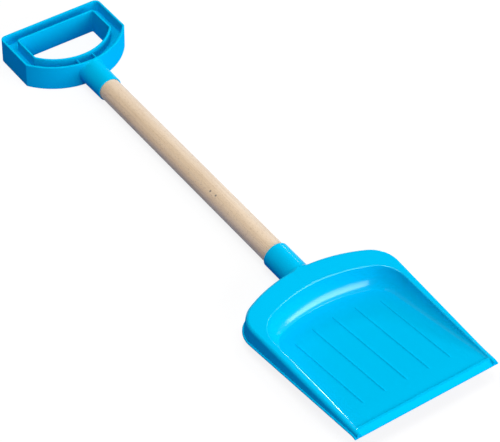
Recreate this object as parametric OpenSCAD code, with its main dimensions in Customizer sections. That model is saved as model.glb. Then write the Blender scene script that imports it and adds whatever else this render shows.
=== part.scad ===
// Child's sand shovel: a moulded plastic blade and D-grip on a turned beech shaft.
// Millimetres. +Y runs along the shaft from the blade to the grip, and +Z is up as the
// shovel lies. The origin is on the ground, under the middle of the shovel.

/* [Shaft] */
// Diameter of the beech shaft
shaft_d = 22; // [19:0.5:25]
// Length of the shaft, with both ends inside the sockets
shaft_length = 347; // [260:1:450]
// Chamfer on both ends of the shaft
shaft_chamfer = 1; // [0.4:0.1:2]

/* [Fit] */
// Radial clearance between the shaft and its sockets
socket_clearance = 0.1; // [0.05:0.05:0.25]
// Gap between each end of the shaft and the bottom of its socket
shaft_end_gap = 0.2; // [0.1:0.05:0.6]

/* [Blade outline] */
// Length of the blade from its digging edge to the back of its flange
blade_length = 176.6; // [150:0.2:210]
// Width over the flange at the digging edge
blade_front_width = 143.6; // [120:0.2:170]
// Width over the flange at its widest, by the back corners
blade_back_width = 153.2; // [128:0.2:180]
// Plan radius of the flange's back edge
blade_back_radius = 140; // [115:1:220]
// Plan radius of the flange's back corners
blade_corner_radius = 27; // [20:1:34]
// Wall thickness of the blade
blade_wall = 1.8; // [1.4:0.1:2.1]

/* [Blade flange and skirt] */
// Width of the flange along each side, at the digging edge
flange_front = 4.1; // [3.9:0.1:6]
// The same width by the back corners
flange_side = 8.3; // [6:0.1:11]
// Width of the flange behind the tray, on the middle line
flange_back = 22.6; // [16:0.2:30]
// Height of the flange above the shaft's axis at the digging edge
rim_front = 11.2; // [9:0.1:13]
// Height of the flange above the top of the socket, at the back
rim_over_socket = 0.2; // [0.1:0.1:2]
// Radius of the edge where the flange turns down into the skirt
flange_round = 4.6; // [2:0.1:6]
// Height of the skirt at the digging edge
skirt_front = 4.2; // [3:0.1:5]
// Height of the skirt at the back
skirt_back = 19.5; // [14:0.5:24]
// How far the skirt leans out, as a share of its height
skirt_draft = 0.06; // [0:0.01:0.1]
// How far the lip stands out at the foot of the skirt
skirt_lip_reach = 1.5; // [0.6:0.1:2.5]
// Thickness of that lip
skirt_lip_thickness = 1.4; // [0.8:0.1:1.8]

/* [Blade tray] */
// Depth of the tray below the flange at the back of its floor
tray_depth = 21.5; // [16:0.5:23]
// Slope of the floor along the blade, in degrees
floor_slope = 7.9; // [6.5:0.1:9]
// Plan radius of the tray's back rim
tray_back_radius = 132; // [115:1:200]
// Plan radius of the tray's back corners
tray_corner_radius = 28; // [22:1:36]
// Plan radius of the floor's back corners
floor_corner_radius = 24; // [18:1:32]
// Plan distance from the tray's rim to its flat floor, at the digging edge
floor_inset_front = 1.2; // [0.8:0.1:4]
// The same distance at the sides by the back corners
floor_inset_side = 9; // [6:0.5:13]
// The same distance at the back wall
floor_inset_back = 8.6; // [6:0.1:12]
// Radius that rounds the tray's rim
rim_round = 1.2; // [0.6:0.1:1.6]

/* [Digging edge] */
// Length of the strip that bends down to the digging edge
edge_strip = 4.3; // [3:0.1:7]
// Fall of that strip
edge_fall = 3.8; // [1.5:0.1:4.2]
// Thickness of the digging edge
edge_thickness = 1.2; // [0.8:0.1:1.6]
// Step from the strip down to the floor of the tray
strip_step = 0.6; // [0.3:0.1:1]

/* [Floor beads] */
// Number of raised beads along the floor
bead_count = 5; // [1:2:5]
// Spacing of the beads
bead_pitch = 22.1; // [16:0.1:24]
// Radius of a bead's round section
bead_radius = 1.1; // [0.8:0.1:1.6]
// Height of a bead above the floor
bead_height = 0.6; // [0.3:0.1:0.8]
// Distance from the digging edge to the front ends of the beads
bead_front = 27.5; // [26:0.5:60]
// Distance from the foot of the back wall to the back ends of the beads
bead_back_margin = 15; // [12:0.5:40]

/* [Blade socket] */
// Wall of the blade's socket
blade_socket_wall = 1.7; // [1.4:0.1:1.9]
// How far the blade's socket stands out behind the flange
blade_socket_reach = 33.8; // [25:0.2:60]
// Radius that rounds the outer edge of that socket's mouth
blade_mouth_round = 1.2; // [0.3:0.1:1.3]
// Distance from the tray's rim to the bottom of the blade's socket
blade_socket_stop = 6.5; // [5:0.5:12]
// Thickness of the wall that closes the blade's socket
blade_socket_end = 2; // [1.2:0.1:2.5]

/* [Grip outline] */
// Width of the grip
grip_width = 109.8; // [95:0.2:130]
// Length of the grip from its socket wall to its far bar
grip_length = 77.4; // [70:0.2:95]
// Plan radius of the grip's curved front wall
grip_arc_radius = 67.3; // [60:0.1:80]
// Plan radius of the grip's far corners
grip_corner_radius = 6; // [4:0.5:9]
// Width of each side limb, from the outside to the hand opening
grip_limb = 14; // [10:0.5:18]
// Width of the far bar
grip_bar = 13.5; // [11:0.5:20]
// Width of the curved front limb on the middle line
grip_yoke = 13.6; // [10:0.2:17]
// Plan radius of the curved edge of the hand opening
hand_arc_radius = 51.3; // [46:0.1:60]
// Plan radius of the far corners of the hand opening
hand_corner_radius = 1.5; // [0.8:0.1:4]

/* [Grip section] */
// Thickness of the grip's outer wall
grip_outer_wall = 2.2; // [1.6:0.1:3]
// Thickness of the wall round the hand opening
grip_inner_wall = 2; // [1.5:0.1:3]
// Thickness of the web between the two walls
grip_web = 2; // [1.5:0.1:4]
// Height of the walls above the root of the socket
grip_rim_margin = 0.1; // [0.1:0.1:2]
// Spacing of the two cross ribs behind the socket
grip_rib_spacing = 17.3; // [12:0.1:24]
// Thickness of the cross ribs
grip_rib_thickness = 1.2; // [0.8:0.1:2]
// Depth of the cross ribs' tops below the walls
grip_rib_drop = 3.5; // [2:0.5:8]

/* [Grip socket] */
// Length of the grip's socket in front of the grip's wall
grip_socket_length = 31.8; // [22:0.2:45]
// Wall of the grip's socket at its mouth
grip_socket_mouth_wall = 1.2; // [1.1:0.1:1.4]
// Wall of the grip's socket at its root
grip_socket_root_wall = 1.6; // [1.5:0.1:2.2]
// How far the socket's bore runs into the grip's wall
grip_bore_sink = 0.5; // [0.3:0.1:0.9]

/* [Retaining screws] */
// Shank diameter of the two retaining screws
screw_d = 3; // [2.5:0.1:3.5]
// Length of a retaining screw
screw_length = 14; // [10:0.5:18]
// Diameter of a countersunk head
screw_head_d = 5; // [4.6:0.1:5.4]
// Depth of the head below the outside of its socket
screw_recess = 0.3; // [0.25:0.05:0.5]
// Clearance round a screw
screw_clearance = 0.08; // [0.05:0.01:0.15]
// Distance from a socket's mouth to its screw
screw_from_mouth = 14; // [8:0.5:20]

/* [Hidden] */
$fn = 96;

blade_colour = "#00bdf4";
beech_colour = "#dfc8ae";
screw_colour = "#b8bcc0";

// Radii of the sockets
shaft_r = shaft_d / 2;
bore_r = shaft_r + socket_clearance;
blade_socket_r = bore_r + blade_socket_wall;
grip_mouth_r = bore_r + grip_socket_mouth_wall;
grip_root_r = bore_r + grip_socket_root_wall;
mouth_chamfer = 0.5;

// Heights. The grip lies on its walls and the blade on its socket, so the shaft is level.
grip_height = 2 * (grip_root_r + grip_rim_margin);
axis_z = max(grip_height / 2, blade_socket_r);
rim_back = blade_socket_r + rim_over_socket;

// Places along the shovel, from the digging edge
tray_back = blade_length - flange_back;
blade_mouth = blade_length + blade_socket_reach;
blade_bore_end = tray_back + blade_socket_stop;
shaft_start = blade_bore_end + shaft_end_gap;
grip_bore_end = shaft_start + shaft_length + shaft_end_gap;
grip_front = grip_bore_end - grip_bore_sink;
grip_mouth = grip_front - grip_socket_length;
grip_far = grip_front + grip_length;
overall_length = grip_far;

// Heights of the blade's surfaces above the shaft's axis, at a distance y behind the edge. The
// strip behind the edge lies strip_margin below the flange, and the floor starts a step below
// the strip and bends into its slope over blend_run.
strip_margin = 0.3;
step_run = 0.3;
blend_run = 20;
floor_back = tray_back - floor_inset_back;
strip_foot = edge_strip + step_run;
floor_blend = edge_strip + blend_run;
function rim_z(y) = rim_front + (rim_back - rim_front) * y / blade_length;
function plane_z(y) = rim_z(floor_back) - tray_depth + tan(floor_slope) * (floor_back - y);
strip_top = rim_z(edge_strip) - strip_margin;
floor_lift = (plane_z(strip_foot) - strip_top + strip_step) / pow(floor_blend - strip_foot, 2);
function floor_z(y) = y >= strip_foot
    ? plane_z(y) - floor_lift * pow(max(0, floor_blend - y), 2)
    : strip_top - edge_fall * (1 - min(1, y / edge_strip));
function under_z(y) = floor_z(y)
    - edge_thickness - (blade_wall - edge_thickness) * min(1, y / edge_strip);

// The skirt's foot runs straight from the digging edge to the heel, and dips to the edge in front
heel_y = blade_length + skirt_lip_reach + skirt_draft * skirt_back;
skirt_start_z = rim_front - skirt_front;
skirt_end_z = rim_back - skirt_back;
edge_dip = skirt_start_z - under_z(0);
function skirt_z(y) = mix(skirt_start_z, skirt_end_z, y / heel_y)
    - edge_dip * max(0, 1 - y / edge_strip);

// Top of the hollow between the skirt and the tray, which runs out to nothing at the front
hollow_min = 0.4;
hollow_run = 13;
function hollow_z(y) = let (full = rim_z(y) - blade_wall, low = skirt_z(y) + hollow_min)
    low + (full - low) * max(0, min(1, (y - edge_strip) / hollow_run));

// A plan rail: straight sides that start at the digging edge, round back corners and a wide
// back arc, each tangent to the next. Every rail has the same stations, so rails can be joined.
blend_steps = 4;
side_steps = 5;
corner_steps = 11;
back_steps = 7;
front_stations = [0, edge_strip, for (i = [0:blend_steps]) mix(strip_foot, floor_blend, i / blend_steps)];
function mix(a, b, t) = a + (b - a) * t;
function on_arc(centre, r, a) = centre + r * [cos(a), sin(a)];
function corner_centre(back_w, back_y, back_r, corner_r) =
    let (x = back_w - corner_r) [x, back_y - back_r + sqrt(pow(back_r - corner_r, 2) - x * x)];
function half_rail(front_w, back_w, back_y, back_r, corner_r) =
    let (
        back_c = [0, back_y - back_r],
        corner_c = corner_centre(back_w, back_y, back_r, corner_r),
        away = [front_w, 0] - corner_c,
        start_a = acos(corner_r / norm(away)) + atan2(away.y, away.x),
        join_a = atan2(corner_c.y - back_c.y, corner_c.x),
        tangent = on_arc(corner_c, corner_r, start_a),
        side_y = concat(
            front_stations,
            [for (i = [1:side_steps - 1]) mix(floor_blend, tangent.y, i / side_steps)]
        )
    )
    concat(
        [for (y = side_y) [mix(front_w, tangent.x, y / tangent.y), y]],
        [for (i = [0:corner_steps - 1]) on_arc(corner_c, corner_r, mix(start_a, join_a, i / corner_steps))],
        [for (i = [0:back_steps - 1]) on_arc(back_c, back_r, mix(join_a, 90, i / back_steps))],
        [[0, back_y]]
    );
function full_rail(half) = concat(
    [for (p = half) [-p.x, p.y]],
    [for (i = [len(half) - 2:-1:0]) half[i]]
);

// Rails parallel to the flange's outer edge and to the tray's rim, moved inwards by d
function outer_rail(d) = full_rail(half_rail(
    blade_front_width / 2 - d, blade_back_width / 2 - d, blade_length - d,
    blade_back_radius - d, blade_corner_radius - d));
tray_front_w = blade_front_width / 2 - flange_front;
tray_back_w = blade_back_width / 2 - flange_side;
function tray_rail(d) = full_rail(half_rail(
    tray_front_w - d, tray_back_w - d, tray_back - d, tray_back_radius - d, tray_corner_radius - d));
floor_front_w = tray_front_w - floor_inset_front;
floor_back_w = tray_back_w - floor_inset_side;
floor_back_radius = tray_back_radius - floor_inset_back / 2;
floor_rail = full_rail(half_rail(
    floor_front_w, floor_back_w, floor_back, floor_back_radius, floor_corner_radius));

// Section of the blade at every station, from the lip over the flange and down to the floor,
// and back along the underside. The tray's wall and its outside are curves that bend near their
// feet: bend_share of the way in plan from the rim to the floor and bend_rise of the way up.
// Where the tray is shallow, its rim is rounded by no more than round_share of its depth.
bend_share = 0.15;
bend_rise = 0.3;
round_share = 0.35;
wall_steps = [0.2, 0.4, 0.6, 0.8];
tray_edge = tray_rail(0);
stations = [0:len(tray_edge) - 1];
function round_at(p) = min(rim_round, round_share * (rim_z(p.y) - floor_z(min(p.y, floor_back))));
function bent(top, foot, t) = [for (i = stations)
    let (
        plan = mix(top[i], foot[i], bend_share),
        bend = [plan.x, plan.y, mix(foot[i].z, top[i].z, bend_rise)]
    )
    mix(mix(top[i], bend, t), mix(bend, foot[i], t), t)];
wall_top = [for (p = tray_edge) [p.x, p.y, rim_z(p.y) - round_at(p)]];
floor_edge = [for (p = floor_rail) [p.x, p.y, floor_z(p.y)]];
hollow_top = [for (p = tray_rail(-blade_wall)) [p.x, p.y, hollow_z(p.y)]];
hollow_foot = [for (p = floor_rail) [p.x, p.y, under_z(p.y)]];

// The flange's outer edge, the step outwards from it, and the edge moved out by d at one station
flange_edge = outer_rail(0);
flange_unit = outer_rail(-1) - flange_edge;
function edge_at(i, d) = flange_edge[i] + d * flange_unit[i];

// The edge is rounded as far as the flange's width and the skirt's height allow. The hollow
// below it has a chamfer of chamfer_share of that radius, so that the wall stays even there.
flat_min = 0.3;
chamfer_share = 0.4;
lip_slope = 0.1;
function skirt_room(y) = rim_z(y) - skirt_z(y) - skirt_lip_thickness - flat_min;
flange_width = [for (i = stations) (flange_edge[i] - tray_edge[i]) * flange_unit[i]];
edge_round = [for (i = stations)
    min(flange_round, flange_width[i] - rim_round - flat_min, skirt_room(flange_edge[i].y))];
hollow_chamfer = [for (i = stations) let (y = flange_edge[i].y) min(
    chamfer_share * edge_round[i], flange_width[i] / 2 - blade_wall, (hollow_z(y) - skirt_z(y)) / 2)];

// The skirt leans out from the flange to its foot
lean = [for (p = flange_edge) skirt_draft * (rim_z(p.y) - skirt_z(p.y))];
function skirt_line(out, h) = [for (i = stations)
    let (p = edge_at(i, lean[i] + out)) [p.x, p.y, skirt_z(p.y) + h]];
section_top = concat(
    [skirt_line(skirt_lip_reach, 0)],
    [skirt_line(skirt_lip_reach, skirt_lip_thickness)],
    [skirt_line(0, skirt_lip_thickness + lip_slope)],
    [for (a = [0, 22.5, 45, 67.5, 90]) [for (i = stations)
        let (p = edge_at(i, edge_round[i] * (cos(a) - 1)))
        [p.x, p.y, rim_z(p.y) - edge_round[i] * (1 - sin(a))]]],
    [for (a = [0, 45]) let (r = tray_rail(-rim_round * (1 - sin(a)))) [for (i = stations)
        [r[i].x, r[i].y, rim_z(r[i].y) - round_at(tray_edge[i]) * (1 - cos(a))]]],
    [wall_top],
    [for (t = wall_steps) bent(wall_top, floor_edge, t)],
    [floor_edge]
);
section_under = concat(
    [hollow_foot],
    [for (t = wall_steps) bent(hollow_top, hollow_foot, 1 - t)],
    [hollow_top],
    [[for (i = stations) let (p = edge_at(i, -blade_wall - hollow_chamfer[i])) [p.x, p.y, hollow_z(p.y)]]],
    [[for (i = stations) let (p = edge_at(i, -blade_wall)) [p.x, p.y, hollow_z(p.y) - hollow_chamfer[i]]]],
    [skirt_line(-blade_wall, 0)]
);

// Closed shell through all rails: the ring of sections, the floor between its two sides and
// the face at the digging edge
zip_slack = 0.01;
module blade_shell() {
    rails = concat(section_top, section_under);
    count = len(rails[0]);
    middle = (count - 1) / 2;
    inner = len(section_top) - 1;
    last = len(rails) - 1;
    function at(k, j) = k * count + j;
    ring = [for (k = [0:last], j = [0:count - 2]) if (k != inner)
        let (n = (k + 1) % len(rails)) each [
            [at(k, j), at(k, j + 1), at(n, j + 1)],
            [at(k, j), at(n, j + 1), at(n, j)]
        ]];
    floor_top = [for (i = [0:middle - 1])
        let (m = count - 1 - i) i == middle - 1
            ? [at(inner, i), at(inner, i + 1), at(inner, m)]
            : [at(inner, i), at(inner, i + 1), at(inner, m - 1), at(inner, m)]];
    floor_under = [for (i = [0:middle - 1])
        let (m = count - 1 - i) i == middle - 1
            ? [at(inner + 1, m), at(inner + 1, i + 1), at(inner + 1, i)]
            : [at(inner + 1, m), at(inner + 1, m - 1), at(inner + 1, i + 1), at(inner + 1, i)]];
    // The face at the digging edge, zipped between the top and the underside of its section
    function mate(k) = max(1, len([for (m = [last:-1:inner + 1])
        if (abs(rails[m][0].x) >= abs(rails[k][0].x) - zip_slack) m]));
    function under_at(m, j) = at(len(rails) - m, j);
    edge_half = [for (k = [0:inner - 1])
        let (next = mate(k + 1)) each concat(
            [for (m = [mate(k) + 1:1:next]) [[k, 0], [m, 1], [m - 1, 1]]],
            [[[k, 0], [k + 1, 0], [next, 1]]]
        )];
    function corner(c, j) = c[1] == 0 ? at(c[0], j) : under_at(c[0], j);
    edge_face = concat(
        [for (t = edge_half) [for (c = t) corner(c, 0)]],
        [for (t = edge_half) [for (c = [t[2], t[1], t[0]]) corner(c, count - 1)]],
        [[at(inner, 0), at(inner, count - 1), at(inner + 1, count - 1), at(inner + 1, 0)]]
    );
    polyhedron(
        points = [for (r = rails) each r],
        faces = concat(ring, floor_top, floor_under, edge_face),
        convexity = 8
    );
}

// A solid of revolution about the shaft's axis, from a profile of radius and distance
module about_shaft(profile) {
    rotate([-90, 0, 0]) rotate_extrude() polygon(profile);
}

// One raised bead with round ends, lying along the sloping floor
function floor_back_at(x) = let (
        back_c = floor_back - floor_back_radius,
        corner_c = corner_centre(floor_back_w, floor_back, floor_back_radius, floor_corner_radius),
        join_a = atan2(corner_c.y - back_c, corner_c.x)
    ) abs(x) < floor_back_radius * cos(join_a)
        ? back_c + sqrt(pow(floor_back_radius, 2) - x * x)
        : corner_c.y + sqrt(max(0, pow(floor_corner_radius, 2) - pow(abs(x) - corner_c.x, 2)));
module floor_bead(x) {
    run = (floor_back_at(x) - bead_back_margin - bead_front) / cos(floor_slope);
    translate([x, bead_front, plane_z(bead_front) + bead_height - bead_radius])
        rotate([-90 - floor_slope, 0, 0]) {
            cylinder(r = bead_radius, h = run);
            sphere(r = bead_radius);
            translate([0, 0, run]) sphere(r = bead_radius);
        }
}

// Countersunk screw standing on its head, point up, and the hole that takes it
screw_cone = (screw_head_d - screw_d) / 2;
screw_point = screw_d;
cut_past = 1;
module screw_solid(grow) {
    rotate_extrude() polygon([
        [0, 0], [screw_head_d / 2 + grow, 0], [screw_d / 2 + grow, screw_cone],
        [screw_d / 2 + grow, screw_length - screw_point], [0, screw_length + grow]
    ]);
}
module screw_hole() {
    screw_solid(screw_clearance);
    mirror([0, 0, 1]) cylinder(r = screw_head_d / 2 + screw_clearance, h = screw_recess + cut_past);
}
blade_screw_y = blade_mouth - screw_from_mouth;
grip_screw_y = grip_mouth + screw_from_mouth;
grip_screw_r = mix(grip_mouth_r, grip_root_r, screw_from_mouth / grip_socket_length);
module at_blade_screw() { translate([0, blade_screw_y, screw_recess - blade_socket_r]) children(); }
module at_grip_screw() { translate([0, grip_screw_y, screw_recess - grip_screw_r]) children(); }

// From distances measured from the digging edge and the shaft's axis to the shovel's own frame
module in_frame() { translate([0, -overall_length / 2, axis_z]) children(); }

module blade() {
    color(blade_colour) in_frame() difference() {
        union() {
            blade_shell();
            about_shaft(concat(
                [[0, blade_bore_end - blade_socket_end], [blade_socket_r, blade_bore_end - blade_socket_end]],
                [for (a = [0:15:90])
                    on_arc([blade_socket_r, blade_mouth] - blade_mouth_round * [1, 1], blade_mouth_round, a)],
                [[0, blade_mouth]]
            ));
            for (i = [0:bead_count - 1]) floor_bead((i - (bead_count - 1) / 2) * bead_pitch);
        }
        about_shaft([
            [0, blade_bore_end], [bore_r, blade_bore_end],
            [bore_r, blade_mouth + cut_past], [0, blade_mouth + cut_past]
        ]);
        at_blade_screw() screw_hole();
    }
}

module shaft() {
    shaft_end = shaft_start + shaft_length;
    color(beech_colour) in_frame() difference() {
        about_shaft([
            [0, shaft_start], [shaft_r - shaft_chamfer, shaft_start], [shaft_r, shaft_start + shaft_chamfer],
            [shaft_r, shaft_end - shaft_chamfer], [shaft_r - shaft_chamfer, shaft_end], [0, shaft_end]
        ]);
        at_blade_screw() screw_hole();
        at_grip_screw() screw_hole();
    }
}

// Plan of a D: a curved front of radius arc_r about arc_y, straight sides and round far corners
module d_plan(half_w, far_y, arc_y, arc_r, corner_r) {
    near_y = arc_y - arc_r - cut_past;
    intersection() {
        translate([0, arc_y]) circle(arc_r);
        union() {
            translate([-half_w, near_y]) square([2 * half_w, far_y - corner_r - near_y]);
            translate([corner_r - half_w, near_y]) square([2 * (half_w - corner_r), far_y - near_y]);
            for (side = [-1, 1])
                translate([side * (half_w - corner_r), far_y - corner_r]) circle(corner_r);
        }
    }
}
module grip_plan(inset) {
    d_plan(grip_width / 2 - inset, grip_far - inset, grip_front + grip_arc_radius,
        grip_arc_radius - inset, grip_corner_radius - inset);
}
module hand_plan(outset) {
    d_plan(grip_width / 2 - grip_limb + outset, grip_far - grip_bar + outset,
        grip_front + grip_yoke + hand_arc_radius, hand_arc_radius + outset, hand_corner_radius + outset);
}
module slab(height) {
    translate([0, 0, -height / 2]) linear_extrude(height) children();
}

module d_grip() {
    rib_height = grip_height - 2 * grip_rib_drop;
    bore_start = grip_mouth - cut_past;
    color(blade_colour) in_frame() difference() {
        union() {
            slab(grip_height) difference() { grip_plan(0); grip_plan(grip_outer_wall); }
            slab(grip_height) difference() { hand_plan(grip_inner_wall); hand_plan(0); }
            slab(grip_web) difference() { grip_plan(grip_outer_wall / 2); hand_plan(grip_inner_wall / 2); }
            for (side = [-1, 1]) slab(rib_height) intersection() {
                translate([side * grip_rib_spacing / 2 - grip_rib_thickness / 2, grip_front])
                    square([grip_rib_thickness, grip_yoke]);
                difference() { grip_plan(grip_outer_wall / 2); hand_plan(grip_inner_wall / 2); }
            }
            about_shaft([
                [0, grip_mouth], [grip_mouth_r - mouth_chamfer, grip_mouth],
                [grip_mouth_r, grip_mouth + mouth_chamfer], [grip_root_r, grip_front],
                [grip_root_r, grip_front + grip_outer_wall / 2], [0, grip_front + grip_outer_wall / 2]
            ]);
        }
        about_shaft([
            [0, bore_start], [bore_r, bore_start], [bore_r, grip_bore_end], [0, grip_bore_end]
        ]);
        at_grip_screw() screw_hole();
    }
}

module socket_screws() {
    color(screw_colour) in_frame() {
        at_blade_screw() screw_solid(0);
        at_grip_screw() screw_solid(0);
    }
}

blade();
shaft();
d_grip();
socket_screws();
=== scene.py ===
"""Sand shovel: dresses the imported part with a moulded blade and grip, a beech shaft and screws."""

import math

import bmesh
import bpy
from bpy.props import FloatProperty, FloatVectorProperty, IntProperty, PointerProperty, StringProperty
from mathutils import Euler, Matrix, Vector


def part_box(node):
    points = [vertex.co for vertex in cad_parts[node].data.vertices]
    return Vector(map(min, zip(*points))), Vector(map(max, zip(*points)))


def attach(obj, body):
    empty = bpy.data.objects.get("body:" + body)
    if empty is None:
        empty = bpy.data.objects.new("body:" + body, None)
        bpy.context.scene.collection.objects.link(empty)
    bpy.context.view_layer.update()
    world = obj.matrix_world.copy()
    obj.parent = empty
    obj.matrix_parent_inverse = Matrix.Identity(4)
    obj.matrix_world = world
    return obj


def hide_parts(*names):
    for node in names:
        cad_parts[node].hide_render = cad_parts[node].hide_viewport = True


bl_info = {
    "name": "Sand Shovel",
    "version": (1, 0, 0),
    "blender": (4, 5, 0),
    "location": "View3D > Sidebar > Shovel",
    "description": "Builds a moulded sand shovel on a beech shaft, with its floor, lights and camera",
    "category": "Add Mesh",
}

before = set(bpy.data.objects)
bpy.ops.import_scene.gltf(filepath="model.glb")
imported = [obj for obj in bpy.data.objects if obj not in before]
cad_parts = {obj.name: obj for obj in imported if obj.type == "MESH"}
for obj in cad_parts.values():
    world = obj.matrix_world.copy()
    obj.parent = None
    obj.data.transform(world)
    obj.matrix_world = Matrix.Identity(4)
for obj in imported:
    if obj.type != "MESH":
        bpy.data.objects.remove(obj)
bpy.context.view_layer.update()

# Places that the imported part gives. Lengths below run from the digging edge and the shaft's axis.
MM = 0.001
BODY = "root"
BLADE_LOW, BLADE_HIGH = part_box("blade")
GRIP_LOW, GRIP_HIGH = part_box("d_grip")
SHAFT_LOW, SHAFT_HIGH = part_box("shaft")
SHAFT_RADIUS = (SHAFT_HIGH.x - SHAFT_LOW.x) / 2
ORIGIN = Vector((0, BLADE_LOW.y, (GRIP_LOW.z + GRIP_HIGH.z) / 2))
GRIP_MOUTH = GRIP_LOW.y - ORIGIN.y
GRIP_FAR = GRIP_HIGH.y - ORIGIN.y

# Where the polish of the blade begins behind its digging edge, beside its floor and behind its floor,
# and where it ends at the outer edge and at the socket
POLISH_FRONT = ORIGIN.y + 4.5 * MM
FLOOR_SIDE = 62 * MM
FLOOR_BACK = ORIGIN.y + 142 * MM
EDGE_SIDE = 69 * MM
SATIN_START = ORIGIN.y + 170 * MM

# Two pin knots in the beech, and how far the dark of each one reaches
PIN_KNOTS = ((-0.0066, 0.0077, 0.0216), (-0.0062, 0.0000, 0.0219))
PIN_KNOT_SIZE = 1.3 * MM

# A Mix node's output for colours, which is the third of its outputs
MIXED_COLOUR = 2

# Fineness of the meshes
SIDE_STEPS = 20
CORNER_STEPS = 32
BACK_STEPS = 72
BLEND_STEPS = 12
SKIRT_ROWS = 22
ROUND_STEPS = 8
EDGE_STEPS = 3
WALL_STEPS = 14
YOKE_STEPS = 88
FACE_ROWS = 30
SEAM_ROWS = 40
TURNED_SIDES = 144
HOLE_SIDES = 48
SHARP_ANGLE = math.radians(34)
MERGE_DISTANCE = 1e-6

# Directions along which soften_seam takes its slopes
AXES = [Vector((1, 0, 0)), Vector((0, 1, 0)), Vector((0, 0, 1))]


def length(name, description, millimetres):
    """A length property whose default is given in millimetres."""
    return FloatProperty(
        name=name, description=description, default=millimetres * MM, min=0, precision=5, unit="LENGTH"
    )


def angle(name, description, degrees):
    """An angle property whose default is given in degrees."""
    return FloatProperty(
        name=name, description=description, default=math.radians(degrees), subtype="ANGLE"
    )


def factor(name, description, share):
    """A plain share between 0 and 1."""
    return FloatProperty(name=name, description=description, default=share, min=0, max=1, subtype="FACTOR")


def colour(name, description, code):
    """A colour property that holds an sRGB hex code."""
    return StringProperty(name=name, description=description, default=code, maxlen=7)


class BladeSizes(bpy.types.PropertyGroup):
    """Sizes of the moulded blade."""

    length: length("Length", "From the digging edge to the back of the flange", 176.6)
    front_width: length("Front width", "Width over the flange at the digging edge", 143.6)
    back_width: length("Back width", "Width over the flange by the back corners", 153.15)
    back_radius: length("Back radius", "Plan radius of the flange's back edge", 140)
    corner_radius: length("Corner radius", "Plan radius of the flange's back corners", 27)
    wall: length("Wall", "Wall thickness of the blade", 1.8)
    flange_front: length("Flange in front", "Width of the flange along each side at the edge", 3.7)
    flange_side: length("Flange at the sides", "The same width by the back corners", 8.3)
    flange_back: length("Flange at the back", "Width of the flange behind the tray", 22.6)
    flange_round: length("Flange edge", "Radius where the flange turns down into the skirt", 3)
    rim_front: length("Rim in front", "Height of the flange above the shaft's axis at the edge", 11.2)
    rim_back: length("Rim at the back", "Height of the flange above the shaft's axis at the back", 12.983)
    skirt_front: length("Skirt in front", "Height of the skirt at the digging edge", 4.2)
    skirt_back: length("Skirt at the back", "Height of the skirt at the back", 19.5)
    skirt_draft: factor("Skirt draft", "How far the skirt leans out, as a share of its height", 0.06)
    lip_reach: length("Lip reach", "How far the lip stands out at the foot of the skirt", 1.5)
    lip_thickness: length("Lip thickness", "Thickness of that lip", 1.4)
    lip_round: length("Lip edge", "Radius of the lip's edges", 0.35)
    tray_depth: length("Tray depth", "Depth of the tray at the back of its floor", 21.5)
    floor_slope: angle("Floor slope", "Slope of the floor along the blade", 7.9)
    tray_back_radius: length("Tray back radius", "Plan radius of the tray's back rim", 132)
    tray_corner_radius: length("Tray corners", "Plan radius of the tray's back corners", 28)
    floor_corner_radius: length("Floor corners", "Plan radius of the floor's back corners", 24)
    inset_front: length("Floor inset in front", "From the tray's rim to its floor at the edge", 1.2)
    inset_side: length("Floor inset at the sides", "From the tray's rim to its floor at the sides", 9)
    inset_back: length("Floor inset at the back", "From the tray's rim to its floor at the back", 8.6)
    floor_fillet: length("Floor fillet", "Reach of the fillet between the tray's wall and floor", 0.7)
    rim_round: length("Rim edge", "Radius that rounds the tray's rim", 1.2)
    strip: length("Edge strip", "Length of the strip that bends down to the digging edge", 4.3)
    strip_fall: length("Strip fall", "Fall of that strip", 3.8)
    strip_step: length("Strip step", "Step from the strip down to the floor", 1.2)
    edge_thickness: length("Edge thickness", "Thickness of the digging edge", 1.2)
    bead_count: IntProperty(name="Beads", description="Number of beads on the floor", default=5, min=1)
    bead_pitch: length("Bead pitch", "Spacing of the beads", 22.4)
    bead_radius: length("Bead radius", "Radius of a bead's round section", 1.18)
    bead_height: length("Bead height", "Height of a bead above the floor", 0.6)
    bead_front: length("Bead front", "From the digging edge to the front ends of the beads", 22.5)
    bead_margin: length("Bead margin", "From the back wall to the back ends of the beads", 14.8)
    socket_wall: length("Socket wall", "Wall of the blade's socket", 1.7)
    socket_stop: length("Socket stop", "From the tray's rim to the bottom of the socket", 6.5)
    socket_end: length("Socket end", "Thickness of the wall that closes the socket", 2)
    mouth_round: length("Mouth edge", "Radius of the socket's outer edge at its mouth", 1.2)
    seam_round: length("Seam fillet", "Fillet where the socket meets the flange and skirt", 2.4)


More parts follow.
